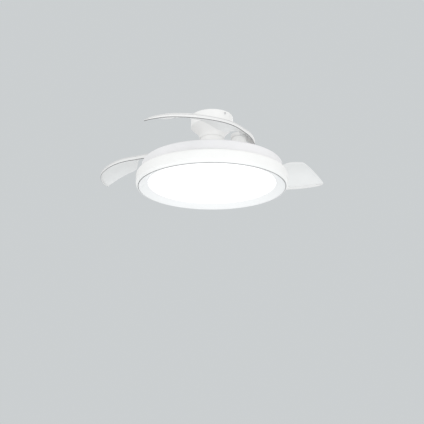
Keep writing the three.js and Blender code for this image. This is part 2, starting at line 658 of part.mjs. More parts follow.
function makeTrimRing() {
  const rim = -TOTAL_DROP;
  return turned([
    [LIT_R, TRIM_FLAT], [TRIM_R - 4.4, rim + 0.8], [TRIM_R - 2, rim],
    [TRIM_R, rim + 0.5], [TRIM_R, WALL_END], [TRIM_R - 0.8, WALL_END + GAP],
    [TRIM_R - 0.8, rim + 24], [TRIM_R - 3, rim + 24], [TRIM_R - 3, rim + 6],
    [LIT_R + 10, TRIM_FLAT + 2], [LIT_R, TRIM_FLAT + 2],
  ]);
}

function makeDiffuser() {
  const bed = TRIM_FLAT + 2 + GAP;
  const edge = LIT_R - GAP;
  const dome = [[0, TRIM_FLAT - 2.4], [70, TRIM_FLAT - 2.1], [130, TRIM_FLAT - 1.2], [180, TRIM_FLAT]];
  return turned([
    ...dome, [edge - 4, TRIM_FLAT + 0.6], [edge, TRIM_FLAT + 1.4], [edge, bed], [LIT_R + 8, bed],
    [LIT_R + 8, bed + 2], [180, bed + 2], [0, bed + 0.5],
  ]);
}

const TRAY_Z = -238;
const COLLAR_R = 48;

function makeLedTray() {
  const top = PAN_UNDER - GAP;
  return turned([
    [30, top - SHEET], [COLLAR_R - SHEET, top - SHEET], [COLLAR_R - SHEET, TRAY_Z],
    [206, TRAY_Z], [206, TRAY_Z + 8], [204, TRAY_Z + 8], [204, TRAY_Z + SHEET],
    [COLLAR_R, TRAY_Z + SHEET], [COLLAR_R, top], [30, top],
  ], SEG_MID);
}

// Lamp board: an annular board with three rings of raised emitters.
function makeLedBoard() {
  const top = TRAY_Z - GAP;
  const board = ring(64, 192, top - 1.6, top, SEG_MID);
  const emitters = [[84, 6], [128, 8], [172, 10]].flatMap(([radius, count]) =>
    Array.from({ length: count }, (_, i) =>
      box(5, 5, top - 2.6, top - 1.2, radius, 0).rotateZ((i * 2 * Math.PI) / count)));
  return join(board, ...emitters);
}

place('light_pan', makeLightPan(), WHITE);
place('pan_nut', cut(rod(17, PAN_UNDER - 9, PAN_UNDER - GAP, 0, 0, 6),
  rod(SHAFT_LOW_R + GAP, PAN_UNDER - 10, PAN_UNDER + 1, 0, 0, SEG_MID)), STEEL);
place('led_tray', makeLedTray(), BOARD);
place('led_board', makeLedBoard(), BOARD);
place('led_driver', box(46, 110, TRAY_Z + SHEET + GAP, TRAY_Z + 18, 100, 0), CASE);
place('trim_ring', makeTrimRing(), WHITE);
place('diffuser', makeDiffuser(), OPAL);

export default fan;
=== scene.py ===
"""Ceiling fan with three folding blades over a round lamp drum.

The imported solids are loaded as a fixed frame. The operators below put the finished
pieces on it, in metres, +Z up, with the origin in the middle of the bracket's top face.
"""
import math

import bmesh
import bpy
import numpy as np
from bpy.props import FloatProperty, FloatVectorProperty, IntProperty, PointerProperty
from mathutils import Matrix, Vector


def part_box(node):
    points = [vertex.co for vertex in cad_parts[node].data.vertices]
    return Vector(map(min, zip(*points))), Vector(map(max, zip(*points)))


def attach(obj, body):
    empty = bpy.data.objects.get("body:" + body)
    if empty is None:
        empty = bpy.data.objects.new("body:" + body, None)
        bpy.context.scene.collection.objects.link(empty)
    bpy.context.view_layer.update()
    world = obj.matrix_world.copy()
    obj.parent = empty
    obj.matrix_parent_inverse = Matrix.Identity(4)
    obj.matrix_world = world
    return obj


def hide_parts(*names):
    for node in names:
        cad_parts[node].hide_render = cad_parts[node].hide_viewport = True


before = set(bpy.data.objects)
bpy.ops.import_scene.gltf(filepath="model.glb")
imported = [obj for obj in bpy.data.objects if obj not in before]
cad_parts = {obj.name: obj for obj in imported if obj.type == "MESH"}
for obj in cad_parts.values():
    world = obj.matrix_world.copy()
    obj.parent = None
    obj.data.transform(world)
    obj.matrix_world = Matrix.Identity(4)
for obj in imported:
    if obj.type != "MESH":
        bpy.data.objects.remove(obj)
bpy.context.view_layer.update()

bl_info = {
    "name": "Folding-blade ceiling fan",
    "version": (1, 0, 0),
    "blender": (4, 5, 0),
    "location": "3D View > Sidebar > Fan",
    "description": "Builds the finished pieces of a ceiling fan with folding blades",
    "category": "Add Mesh",
}

MM = 0.001

FIXED_BODY = "ceiling_and_lamp"
ROTOR_BODY = "rotor"
BLADE_BODIES = ["blade_1_assembly", "blade_2_assembly", "blade_3_assembly"]

# Heights and radii that the solids set.
RIM_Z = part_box("trim_ring")[0].z
DRUM_LOW, DRUM_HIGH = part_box("light_pan")
TIER_LOW, TIER_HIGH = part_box("blade_carrier")
CANOPY_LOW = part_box("canopy")[0]
NECK_LOW, NECK_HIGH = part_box("neck_cover")
HUB_LOW, HUB_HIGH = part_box("hub_bush_1")
PIN_HEAD_RISE = 4.2              # millimetres, pin head above the disc at a blade's root
BOSS_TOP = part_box("pivot_pin_1")[1].z - PIN_HEAD_RISE * MM

# Details in millimetres and degrees, shared by several pieces.
GAP = 0.3
SHEET = 1.4                      # drum, neck cover and the tier's wall
TIER_PLATE = 2.0
TIER_HOLE_R = 60
CANOPY_SHEET = 1.6
CANOPY_NECK_R = 42.0
CANOPY_SCREW_AZIMUTHS = (-53, 127)
CANOPY_SCREW_Z = -10
NECK_WEB_TOP = -150.3            # plate inside the neck cover, round the shaft
SHAFT_R = 12
SHAFT_LOW_R = 9                  # the shaft's lower end, through the drum's plate
TRIM_R = 244.8
BUSH_R = 8
HUB_NECK_R = 12                  # round the bush, inside the spring
HUB_ROOM_R = 20
HUB_FLANGE_R = 29.5
PIN_R = 5
PIN_HEAD_R = 9
TIER_SCREW_CIRCLE = 76
TIER_SCREW_AZIMUTHS = (0, 120, 240)
BLADE_SCREWS = ((-13.5, 10.5), (-4, -17))    # from the pivot
SCREW_HEAD_HEIGHT = 2.3
SPRING_R = 17
BOARD_INSIDE, BOARD_OUTSIDE, BOARD_THICK = 64, 192, 1.6
EMITTER_RINGS = ((84, 18), (128, 28), (172, 38))    # radius and count
EMITTER_SIDE, EMITTER_HEIGHT = 5, 1

# The stage, in metres, watts and radians.
FLOOR_HALF, FLOOR_Z = 14.0, -2.4
SKY_STRENGTH = 0.82
FAN_MIDDLE = (0, 0, -0.15)
LAMPS = (    # name, place, side, power
    ("key", (-1.8, -2.6, 0.2), 2.2, 13),
    ("front", (1.7, -2.5, -0.9), 2.2, 22),
    ("back", (0.6, 2.8, 1.3), 2.4, 7),
    ("low", (-0.2, -0.1, -1.3), 3.6, 16),
)
CAMERA_PLACE = (0, -1.9448, -0.9057)
CAMERA_TILT = math.pi / 2 + 0.283
CAMERA_LENS = 51.9


# ---------------------------------------------------------------- sizes and colours
def length(name, text, default):
    """A length that the panel shows in the scene's unit."""
    return FloatProperty(name=name, description=text, default=default, unit="LENGTH", precision=4)


def colour(name, text, default):
    """A paint or material colour."""
    return FloatVectorProperty(
        name=name, description=text, default=default, subtype="COLOR", min=0, max=1)


class FanSizes(bpy.types.PropertyGroup):
    """Lengths of the finished pieces."""
    drum_radius: length("Drum radius", "Outside of the lamp drum's wall", 254 * MM)
    drum_edge: length("Drum edge", "Rounding of the drum's upper edge", 7 * MM)
    lit_radius: length("Lit radius", "Radius of the lit disc", 214 * MM)
    lit_rise: length("Lit rise", "Height of the lit disc above the rim", 14.4 * MM)
    tier_radius: length("Tier radius", "Outside of the turning tier", 236.7 * MM)
    tier_edge: length("Tier edge", "Rounding of the tier's upper edge", 5 * MM)
    canopy_radius: length("Canopy radius", "Outside of the canopy's wall", 72.5 * MM)
    canopy_straight: length("Canopy wall", "Height of the canopy's straight wall", 38 * MM)
    neck_radius: length("Neck radius", "Outside of the neck cover", 40 * MM)
    pivot_radius: length("Pivot circle", "Distance of the blade pivots from the axis", 192 * MM)
    blade_thickness: length("Blade thickness", "Thickness of a blade's panel", 2.6 * MM)
    lip_wall: length("Lip wall", "Thickness of the lip under a blade's outer edge", 2.6 * MM)
    boss_radius: length("Boss radius", "Radius of the disc at a blade's root", 25.5 * MM)
    hub_radius: length("Hub radius", "Radius of the hub under a blade", 23 * MM)
    screw_head: length("Screw head", "Radius of the small screw heads", 4 * MM)
    spring_wire: length("Spring wire", "Radius of the return springs' wire", 1 * MM)
    spring_turns: IntProperty(
        name="Spring turns", description="Turns of a return spring", default=3, min=1)


class FanColours(bpy.types.PropertyGroup):
    """Colours of the finishes, in linear light."""
    coat: colour("White coat", "Powder coat of the drum, canopy and neck", (0.92, 0.92, 0.91))
    tier: colour("Tier coat", "Powder coat of the turning tier", (0.87, 0.865, 0.875))
    blade: colour("Blade", "Moulded plastic of the blades", (0.83, 0.83, 0.825))
    # Painted shade: the next two colours darken lines along each blade's lip and the gap between
    # drum and trim, where shadow falls.
    groove: colour("Groove", "Shade of the groove under a blade's edge", (0.16, 0.16, 0.165))
    seam: colour("Seam", "Shade of the seam between drum and trim", (0.42, 0.42, 0.43))
    trim: colour("Trim", "Bevelled ring round the lit disc", (0.90, 0.90, 0.90))
    glow: colour("Glow", "Light of the lit disc", (1.0, 1.0, 1.0))
    steel: colour("Steel", "Zinc-plated steel", (0.56, 0.57, 0.58))
    floor: colour("Floor", "Plain floor and backdrop", (0.60, 0.625, 0.635))


# ---------------------------------------------------------------- materials
def start_material(name):
    """A new material with its tree, shader and a Texture Coordinate node."""
    material = bpy.data.materials.new(name)
    material.use_nodes = True
    tree = material.node_tree
    shader = tree.nodes["Principled BSDF"]
    coords = tree.nodes.new("ShaderNodeTexCoord")
    return material, tree, shader, coords


def noise(tree, coords, scale, detail=3.0, stretch=None):
    """Noise on Object coordinates, drawn out along an axis where stretch says so."""
    node = tree.nodes.new("ShaderNodeTexNoise")
    node.inputs["Scale"].default_value = scale
    node.inputs["Detail"].default_value = detail
    source = coords.outputs["Object"]
    if stretch:
        mapping = tree.nodes.new("ShaderNodeMapping")
        mapping.inputs["Scale"].default_value = stretch
        tree.links.new(source, mapping.inputs["Vector"])
        source = mapping.outputs["Vector"]
    tree.links.new(source, node.inputs["Vector"])
    return node


def spread(tree, source, low, high):
    """Maps a 0 to 1 value to low to high."""
    node = tree.nodes.new("ShaderNodeMapRange")
    node.inputs["From Min"].default_value = 0.3
    node.inputs["From Max"].default_value = 0.7
    node.inputs["To Min"].default_value = low
    node.inputs["To Max"].default_value = high
    tree.links.new(source, node.inputs["Value"])
    return node.outputs["Result"]


def blend_colours(tree, factor, first, second):
    """Mixes two colours; each is a fixed colour or an output."""
    node = tree.nodes.new("ShaderNodeMix")
    node.data_type = "RGBA"
    for socket, value in ((node.inputs[6], first), (node.inputs[7], second)):
        if isinstance(value, bpy.types.NodeSocket):
            tree.links.new(value, socket)
        else:
            socket.default_value = (*value, 1)
    tree.links.new(factor, node.inputs[0])
    return node.outputs[2]


def add_bump(tree, shader, height, strength, distance):
    """Fine relief on the shader, from a height output. The distance is in metres."""
    node = tree.nodes.new("ShaderNodeBump")
    node.inputs["Strength"].default_value = strength
    node.inputs["Distance"].default_value = distance
    tree.links.new(height, node.inputs["Height"])
    tree.links.new(node.outputs["Normal"], shader.inputs["Normal"])


def shade(tone, factor):
    """A colour made lighter or darker."""
    return tuple(min(1.0, channel * factor) for channel in tone)


def coated(name, tone, roughness=0.42, mottle=0.02, grain=0.06, grain_scale=700,
           seam=None, dust=0.0, coat=0.0):
    """Powder coat or moulded plastic: fine grain, faint clouds of tone, dust on top."""
    material, tree, shader, coords = start_material(name)
    links = tree.links
    clouds = noise(tree, coords, 9, 4)
    base = blend_colours(tree, spread(tree, clouds.outputs["Fac"], 0, 1),
                         shade(tone, 1 - mottle), shade(tone, 1 + mottle))
    if dust:
        geometry = tree.nodes.new("ShaderNodeNewGeometry")
        split = tree.nodes.new("ShaderNodeSeparateXYZ")
        links.new(geometry.outputs["Normal"], split.inputs[0])
        upward = tree.nodes.new("ShaderNodeMapRange")
        upward.inputs["From Min"].default_value = 0.6
        upward.inputs["From Max"].default_value = 1.0
        upward.inputs["To Max"].default_value = dust
        links.new(split.outputs["Z"], upward.inputs["Value"])
        specks = noise(tree, coords, 60, 6)
        amount = tree.nodes.new("ShaderNodeMath")
        amount.operation = "MULTIPLY"
        links.new(upward.outputs["Result"], amount.inputs[0])
        links.new(specks.outputs["Fac"], amount.inputs[1])
        base = blend_colours(tree, amount.outputs[0], base, (0.62, 0.60, 0.56))
    # Painted shade: the given dark colour is mixed in where the mesh's marks say, in grooves and
    # gaps where shadow falls.
    if seam:
        mark = tree.nodes.new("ShaderNodeAttribute")
        mark.attribute_name = "seam"
        base = blend_colours(tree, mark.outputs["Fac"], base, seam)
    links.new(base, shader.inputs["Base Color"])
    patches = noise(tree, coords, 35, 3)
    links.new(spread(tree, patches.outputs["Fac"], roughness - 0.05, roughness + 0.05),
              shader.inputs["Roughness"])
    peel = noise(tree, coords, grain_scale, 2)
    add_bump(tree, shader, peel.outputs["Fac"], grain, 0.0004)
    shader.inputs["Coat Weight"].default_value = coat
    return material


def metal(name, tone, roughness=0.32, stretch=(1, 1, 14), scale=160, grain=0.12):
    """Plain metal with drawn or turned marks along one axis and faint stains."""
    material, tree, shader, coords = start_material(name)
    links = tree.links
    stains = noise(tree, coords, 28, 5)
    base = blend_colours(tree, spread(tree, stains.outputs["Fac"], 0, 1),
                         shade(tone, 0.82), shade(tone, 1.08))
    links.new(base, shader.inputs["Base Color"])
    shader.inputs["Metallic"].default_value = 1.0
    marks = noise(tree, coords, scale, 4, stretch)
    links.new(spread(tree, marks.outputs["Fac"], roughness - 0.08, roughness + 0.1),
              shader.inputs["Roughness"])
    add_bump(tree, shader, marks.outputs["Fac"], grain, 0.0003)
    return material


def banded(name, tone, spacing, direction="Z", roughness=0.4):
    """Fine even bands: laminations of a core, or turns of wound wire."""
    material, tree, shader, coords = start_material(name)
    links = tree.links
    wave = tree.nodes.new("ShaderNodeTexWave")
    wave.wave_type = "RINGS" if direction == "RINGS" else "BANDS"
    if direction == "RINGS":
        wave.rings_direction = "Z"
    else:
        wave.bands_direction = direction
    wave.inputs["Scale"].default_value = 0.314 / spacing
    wave.inputs["Distortion"].default_value = 0.6
    wave.inputs["Detail"].default_value = 1.0
    links.new(coords.outputs["Object"], wave.inputs["Vector"])
    base = blend_colours(tree, wave.outputs["Fac"], shade(tone, 0.55), shade(tone, 1.1))
    links.new(base, shader.inputs["Base Color"])
    shader.inputs["Metallic"].default_value = 1.0
    shader.inputs["Roughness"].default_value = roughness
    add_bump(tree, shader, wave.outputs["Fac"], 0.5, 0.0005)
    return material


def radius_of(tree, coords):
    """Distance from the fan's axis, on Object coordinates."""
    flat = tree.nodes.new("ShaderNodeVectorMath")
    flat.operation = "MULTIPLY"
    flat.inputs[1].default_value = (1, 1, 0)
    tree.links.new(coords.outputs["Object"], flat.inputs[0])
    reach = tree.nodes.new("ShaderNodeVectorMath")
    reach.operation = "LENGTH"
    tree.links.new(flat.outputs[0], reach.inputs[0])
    return reach.outputs["Value"]


def lit_opal(name, tone, rim_radius):
    """Opal acrylic lit from behind, a touch dimmer towards its edge."""
    material, tree, shader, coords = start_material(name)
    links = tree.links
    fade = tree.nodes.new("ShaderNodeMapRange")
    fade.interpolation_type = "SMOOTHSTEP"
    fade.inputs["From Min"].default_value = rim_radius * 0.9
    fade.inputs["From Max"].default_value = rim_radius
    links.new(radius_of(tree, coords), fade.inputs["Value"])
    haze = noise(tree, coords, 5, 2)
    inner = blend_colours(tree, spread(tree, haze.outputs["Fac"], 0, 1), tone, shade(tone, 0.99))
    glow = blend_colours(tree, fade.outputs["Result"], inner, shade(tone, 0.93))
    links.new(glow, shader.inputs["Emission Color"])
    shader.inputs["Emission Strength"].default_value = 1.08
    shader.inputs["Base Color"].default_value = (0.35, 0.35, 0.35, 1)
    frost = noise(tree, coords, 900, 2)
    links.new(spread(tree, frost.outputs["Fac"], 0.38, 0.48), shader.inputs["Roughness"])
    return material


FINISH = {}


def make_finishes(sizes, colours):
    """Builds every finish once."""
    # The seam and groove colours are painted shade: they darken the gap between drum and trim and
    # lines along each blade's lip.
    FINISH["coat"] = coated("white_powder_coat", colours.coat, 0.4, seam=colours.seam, coat=0.08)
    FINISH["canopy"] = coated("canopy_coat", colours.coat, 0.38, dust=0.2, coat=0.08)
    FINISH["tier"] = coated("tier_coat", colours.tier, 0.46, dust=0.35, grain=0.08)
    FINISH["trim"] = coated("trim_plastic", colours.trim, 0.45, 0.01, 0.04, 900, seam=colours.seam)
    FINISH["blade"] = coated("blade_plastic", colours.blade, 0.4, 0.025, 0.09, 520,
                             seam=colours.groove, dust=0.25)
    # Painted light: the hub's plastic is the white coat made a touch lighter, to brighten a part
    # that sits in shade under its blade.
    FINISH["hub"] = coated("hub_plastic_painted_light", shade(colours.coat, 1.02), 0.42, 0.02, 0.1, 600)
    FINISH["opal"] = lit_opal("lit_opal", colours.glow, sizes.lit_radius)
    FINISH["steel"] = metal("zinc_steel", colours.steel)
    FINISH["turned_steel"] = metal("turned_steel", shade(colours.steel, 1.1), 0.24, (1, 1, 30), 90)
    FINISH["bright_zinc"] = metal("bright_zinc", (0.86, 0.86, 0.87), 0.5)
    FINISH["dark_steel"] = metal("blackened_steel", (0.11, 0.115, 0.12), 0.42)
    FINISH["laminated"] = banded("laminated_core", (0.2, 0.2, 0.21), 0.0007, "Z")
    FINISH["copper"] = banded("wound_copper", (0.62, 0.27, 0.11), 0.0011, "RINGS", 0.35)
    FINISH["bronze"] = metal("sintered_bronze", (0.45, 0.30, 0.13), 0.5, (1, 1, 1), 900, 0.3)
    FINISH["magnet"] = coated("ferrite", (0.035, 0.035, 0.038), 0.6, 0.1, 0.4, 1200)
    FINISH["board"] = coated("lamp_board_mask", (0.82, 0.84, 0.84), 0.5, 0.02, 0.05, 1500)
    FINISH["case"] = coated("light_grey_case", (0.66, 0.66, 0.63), 0.55, 0.03, 0.2, 800)
    FINISH["rubber"] = coated("stop_rubber", (0.03, 0.03, 0.032), 0.8, 0.1, 0.4, 1600)
    FINISH["emitter"] = coated("emitter_yellow", (0.85, 0.66, 0.16), 0.35, 0.03, 0.05, 900)


# ---------------------------------------------------------------- mesh helpers
def finish_mesh(bm, name, angle=32, recalc=True):
    """Turns a bmesh into a mesh with outward faces, smooth but for its sharp edges."""
    bmesh.ops.remove_doubles(bm, verts=bm.verts, dist=1e-7)
    if recalc:
        bmesh.ops.recalc_face_normals(bm, faces=bm.faces)
    mesh = bpy.data.meshes.new(name)
    bm.to_mesh(mesh)
    bm.free()
    mesh.shade_smooth()
    mesh.set_sharp_from_angle(angle=math.radians(angle))
    return mesh


def add_piece(name, mesh, body, stands_for, slot, *finishes):
    """Puts a finished mesh in the scene, on its body, in place of its CAD nodes."""
    piece = bpy.data.objects.new(name, mesh)
    bpy.context.scene.collection.objects.link(piece)
    mesh.materials.clear()
    for finish in finishes:
        mesh.materials.append(FINISH[finish])
    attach(piece, body)
    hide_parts(*stands_for)
    return piece


def rounded(corners, steps=5):
    """Closed section from (r, z, radius) corners in millimetres, each corner rounded."""
    points = []
    count = len(corners)
    for index, (r, z, radius) in enumerate(corners):
        here = np.array([r, z], float)
        before = np.array(corners[index - 1][:2], float) - here
        after = np.array(corners[(index + 1) % count][:2], float) - here
        if radius <= 0:
            points.append(here)
            continue
        len_before, len_after = np.linalg.norm(before), np.linalg.norm(after)
        before, after = before / len_before, after / len_after
        half = math.acos(float(np.clip(before @ after, -1, 1))) / 2
        reach = min(radius / math.tan(half), 0.49 * len_before, 0.49 * len_after)
        size = reach * math.tan(half)
        middle = here + (before + after) / np.linalg.norm(before + after) * (size / math.sin(half))
        start, end = here + before * reach - middle, here + after * reach - middle
        a0 = math.atan2(start[1], start[0])
        turn = (math.atan2(end[1], end[0]) - a0 + math.pi) % (2 * math.pi) - math.pi
        for step in range(steps + 1):
            angle = a0 + turn * step / steps
            points.append(middle + size * np.array([math.cos(angle), math.sin(angle)]))
    return points


def turned(bm, section, segments=192, painted_shade_test=None, centre=(0, 0)):
    """Adds a body of revolution, from a closed section of (r, z) in millimetres."""
    layer = bm.verts.layers.float.get("seam") or bm.verts.layers.float.new("seam")
    rings = []
    for r, z in section:
        if r < 1e-6:
            ring = [bm.verts.new((centre[0], centre[1], z * MM))]
        else:
            ring = [
                bm.verts.new((centre[0] + r * MM * math.cos(2 * math.pi * k / segments),
                              centre[1] + r * MM * math.sin(2 * math.pi * k / segments), z * MM))
                for k in range(segments)]
        # Painted shade: rings that the test picks are marked for the darker colour.
        if painted_shade_test and painted_shade_test(r, z):
            for vertex in ring:
                vertex[layer] = 1.0
        rings.append(ring)
    for here, there in zip(rings, rings[1:] + rings[:1]):
        if len(here) == 1 and len(there) == 1:
            continue
        for k in range(segments):
            n = (k + 1) % segments
            corners = [here[k % len(here)], here[n % len(here)],
                       there[n % len(there)], there[k % len(there)]]
            bm.faces.new(list(dict.fromkeys(corners)))


def sector(bm, section, start, end, segments):
    """Adds part of a body of revolution, between two angles in degrees, with its ends closed."""
    rows = []
    for k in range(segments + 1):
        angle = math.radians(start + (end - start) * k / segments)
        rows.append([bm.verts.new((r * MM * math.cos(angle), r * MM * math.sin(angle), z * MM))
                     for r, z in section])
    for here, there in zip(rows, rows[1:]):
        for k in range(len(section)):
            n = (k + 1) % len(section)
            bm.faces.new((here[k], there[k], there[n], here[n]))
    bm.faces.new(rows[0])
    bm.faces.new(rows[-1])


def turned_mesh(name, section, segments=192, painted_shade_test=None, angle=32):
    """A mesh of one body of revolution."""
    bm = bmesh.new()
    turned(bm, section, segments, painted_shade_test)
    return finish_mesh(bm, name, angle)


# ---------------------------------------------------------------- geometry node helpers
def start_tree(name, inputs):
    """A geometry node tree with a Geometry input, the named inputs and one output."""
    tree = bpy.data.node_groups.new(name, "GeometryNodeTree")
    face = tree.interface
    face.new_socket("Geometry", in_out="INPUT", socket_type="NodeSocketGeometry")
    for label, kind in inputs:
        face.new_socket(label, in_out="INPUT", socket_type=kind)
    face.new_socket("Geometry", in_out="OUTPUT", socket_type="NodeSocketGeometry")
    start = tree.nodes.new("NodeGroupInput")
    return tree, start


def node_of(tree, kind, settings=None, **values):
    """Adds a node, its settings and the inputs that are numbers or outputs."""
    node = tree.nodes.new(kind)
    for key, value in (settings or {}).items():
        setattr(node, key, value)
    for key, value in values.items():
        socket = node.inputs[key.replace("_", " ")]
        if isinstance(value, bpy.types.NodeSocket):
            tree.links.new(value, socket)
        else:
            socket.default_value = value
    return node


def end_tree(tree, geometry, material_socket):
    """Realize Instances and Set Material, then the output."""
    real = node_of(tree, "GeometryNodeRealizeInstances", Geometry=geometry)
    painted = node_of(tree, "GeometryNodeSetMaterial", Geometry=real.outputs[0],
                      Material=material_socket)
    end = tree.nodes.new("NodeGroupOutput")
    tree.links.new(painted.outputs[0], end.inputs[0])


def scaled(tree, value, factor):
    """An output times a number."""
    node = node_of(tree, "ShaderNodeMath", {"operation": "MULTIPLY"})
    tree.links.new(value, node.inputs[0])
    node.inputs[1].default_value = factor
    return node.outputs[0]


def xyz(tree, x, y, z):
    """A vector from numbers or outputs."""
    return node_of(tree, "ShaderNodeCombineXYZ", X=x, Y=y, Z=z).outputs[0]


def lifted(tree, node, height):
    """A primitive's mesh, moved up."""
    moved = node_of(tree, "GeometryNodeTransform", Geometry=node.outputs["Mesh"],
                    Translation=xyz(tree, 0, 0, height))
    return moved.outputs[0]


def screw_tree():
    """A domed head with a crossed recess and a shank, at each point along its axis."""
    tree, start = start_tree("crossed_screws", [
        ("Head Radius", "NodeSocketFloat"), ("Head Height", "NodeSocketFloat"),
        ("Shank Length", "NodeSocketFloat"), ("Material", "NodeSocketMaterial")])
    radius, height = start.outputs["Head Radius"], start.outputs["Head Height"]
    rim = node_of(tree, "GeometryNodeMeshCylinder", {"fill_type": "NGON"}, Vertices=40,
                  Radius=radius, Depth=scaled(tree, height, 0.5))
    dome = node_of(tree, "GeometryNodeMeshCone", {"fill_type": "NGON"}, Vertices=40,
                   Radius_Bottom=radius, Radius_Top=scaled(tree, radius, 0.62),
                   Depth=scaled(tree, height, 0.5))
    head = node_of(tree, "GeometryNodeMeshBoolean", {"operation": "UNION"})
    tree.links.new(lifted(tree, rim, scaled(tree, height, 0.25)), head.inputs["Mesh 2"])
    tree.links.new(lifted(tree, dome, scaled(tree, height, 0.499)), head.inputs["Mesh 2"])
    recess = node_of(tree, "GeometryNodeMeshBoolean", {"operation": "DIFFERENCE"})
    tree.links.new(head.outputs[0], recess.inputs["Mesh 1"])
    long_side, short_side = scaled(tree, radius, 1.15), scaled(tree, radius, 0.26)
    for sides in ((long_side, short_side), (short_side, long_side)):
        bar = node_of(tree, "GeometryNodeMeshCube", Size=xyz(tree, *sides, height))
        tree.links.new(lifted(tree, bar, scaled(tree, height, 1.02)), recess.inputs["Mesh 2"])
    shank_length = start.outputs["Shank Length"]
    shank = node_of(tree, "GeometryNodeMeshCylinder", {"fill_type": "NGON"}, Vertices=24,
                    Radius=scaled(tree, radius, 0.5), Depth=shank_length)
    whole = tree.nodes.new("GeometryNodeJoinGeometry")
    tree.links.new(recess.outputs[0], whole.inputs[0])
    tree.links.new(lifted(tree, shank, scaled(tree, shank_length, -0.5)), whole.inputs[0])
    axis = node_of(tree, "GeometryNodeInputNamedAttribute", {"data_type": "FLOAT_VECTOR"},
                   Name="axis")
    facing = node_of(tree, "FunctionNodeAlignRotationToVector", {"axis": "Z"},
                     Vector=axis.outputs["Attribute"])
    placed = node_of(tree, "GeometryNodeInstanceOnPoints", Points=start.outputs["Geometry"],
                     Instance=whole.outputs[0], Rotation=facing.outputs[0])
    end_tree(tree, placed.outputs[0], start.outputs["Material"])
    return tree


def spring_tree():
    """A coil of round wire with closed ends, at each point."""
    tree, start = start_tree("return_springs", [
        ("Coil Radius", "NodeSocketFloat"), ("Wire Radius", "NodeSocketFloat"),
        ("Height", "NodeSocketFloat"), ("Turns", "NodeSocketFloat"),
        ("Material", "NodeSocketMaterial")])
    coil = node_of(tree, "GeometryNodeCurveSpiral", Resolution=48,
                   Rotations=start.outputs["Turns"], Start_Radius=start.outputs["Coil Radius"],
                   End_Radius=start.outputs["Coil Radius"], Height=start.outputs["Height"])
    round_wire = node_of(tree, "GeometryNodeCurvePrimitiveCircle", Resolution=10,
                         Radius=start.outputs["Wire Radius"])
    tube = node_of(tree, "GeometryNodeCurveToMesh", Curve=coil.outputs[0],
                   Profile_Curve=round_wire.outputs[0], Fill_Caps=True)
    placed = node_of(tree, "GeometryNodeInstanceOnPoints", Points=start.outputs["Geometry"],
                     Instance=tube.outputs[0])
    end_tree(tree, placed.outputs[0], start.outputs["Material"])
    return tree


def emitter_tree():
    """Small square emitters, one at each point."""
    tree, start = start_tree("lamp_emitters", [
        ("Side", "NodeSocketFloat"), ("Height", "NodeSocketFloat"),
        ("Material", "NodeSocketMaterial")])
    side, height = start.outputs["Side"], start.outputs["Height"]
    chip = node_of(tree, "GeometryNodeMeshCube", Size=xyz(tree, side, side, height))
    placed = node_of(tree, "GeometryNodeInstanceOnPoints", Points=start.outputs["Geometry"],
                     Instance=chip.outputs["Mesh"])
    end_tree(tree, placed.outputs[0], start.outputs["Material"])
    return tree


def grown_mesh(name, tree, points, values, axes=None):
    """Runs a tree on bare points and returns the plain mesh that it makes."""
    seed_mesh = bpy.data.meshes.new(name + "_points")
    seed_mesh.from_pydata([tuple(p) for p in points], [], [])
    if axes is not None:
        layer = seed_mesh.attributes.new("axis", "FLOAT_VECTOR", "POINT")
        layer.data.foreach_set("vector", np.array(axes, np.float32).ravel())
    seed = bpy.data.objects.new(name + "_seed", seed_mesh)
    bpy.context.scene.collection.objects.link(seed)
    modifier = seed.modifiers.new("grow", "NODES")
    modifier.node_group = tree
    for item in tree.interface.items_tree:
        if item.in_out == "INPUT" and item.name in values:
            modifier[item.identifier] = values[item.name]
    evaluated = seed.evaluated_get(bpy.context.evaluated_depsgraph_get())
    mesh = bpy.data.meshes.new_from_object(evaluated)
    seed.modifiers.remove(modifier)
    bpy.data.objects.remove(seed)
    mesh.name = name
    mesh.shade_smooth()
    mesh.set_sharp_from_angle(angle=math.radians(32))
    return mesh


# ---------------------------------------------------------------- blade shape
# Stations along a folded blade: azimuth of the outer edge, its radius, azimuth of the
# inner edge, its radius, both edges' heights above the rim, and the lip's depth.
# Degrees and millimetres.
STATIONS = np.array([
    [10, 236, 10, 222, 107, 107, 18], [7, 239, 7, 214, 111.5, 111, 20],
    [3, 237.5, 3, 206, 115.5, 114.5, 20], [-2, 234.5, -2, 199.5, 117.5, 116, 18],
    [-8, 231, -8, 201, 116.8, 116.5, 16], [-14, 229, -14, 201, 115.3, 114.5, 15],
    [-17.5, 228.5, -18.5, 194, 114.6, 110.5, 15], [-21, 228.5, -22, 177, 114.2, 107.5, 14.5],
    [-26, 229, -27, 156, 113.8, 116, 14], [-33, 229.5, -35.5, 133, 113, 135.5, 13.8],
    [-41, 229.8, -44, 118.5, 111, 147, 13.2], [-51, 229.5, -54, 107, 109, 153, 13],
    [-62, 229, -65, 98.5, 108, 157.3, 13], [-73, 228.5, -77, 95.5, 107.5, 158, 12.6],
    [-83, 228, -87, 96.5, 107, 156, 11.5], [-91, 227.5, -93, 99, 105, 154, 10.5],
    [-97.5, 225.5, -96.5, 103, 102.5, 152, 8], [-102.5, 220, -98.5, 112, 100.5, 149, 4.5],
])
BLADE_CAMBER = 5                 # how far the panel arches above its edges
PIVOT_AZIMUTH = -63.7
PHOTO_SWING = (51.0, 95.0, 91.0)
OPEN_SWING = 97.0
STOP_HALF = 6.3                  # half the width of the stop's place in the collar
STEPS_PER_STATION = 7
ACROSS = 18


